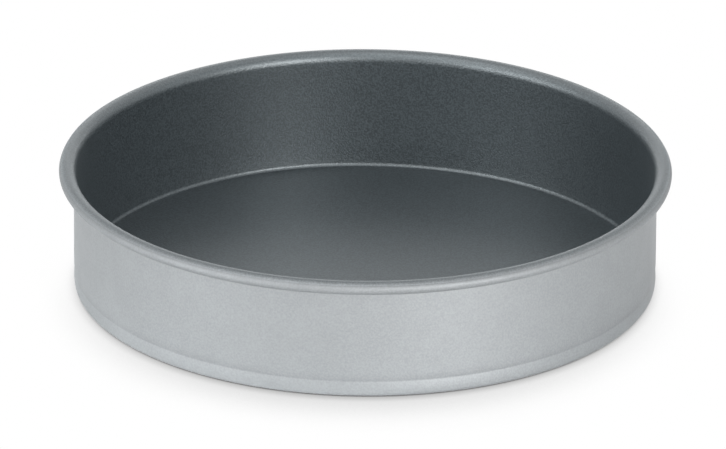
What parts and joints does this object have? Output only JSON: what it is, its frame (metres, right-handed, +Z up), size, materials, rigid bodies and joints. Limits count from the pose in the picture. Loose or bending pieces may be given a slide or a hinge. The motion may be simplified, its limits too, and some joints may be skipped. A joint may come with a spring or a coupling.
{
  "type": "cake pan",
  "caption": "Round straight-sided cake pan, a drawn aluminium shell with a rolled rim and a shallow crease above its foot, lined inside with a dark non-stick coating.",
  "frame": {"origin": "centre of the underside, on the surface that the pan stands on", "axes": "+Z up along the pan's axis, towards the open rim; -Y faces the picture's camera"},
  "size_m": [0.2436, 0.2436, 0.0504],
  "materials": {
    "aluminium": "satin",
    "nonstick": "satin"
  },
  "bodies": {
    "root": {"pan_shell": "aluminium", "nonstick_lining": "nonstick"}
  },
  "joints": []
}
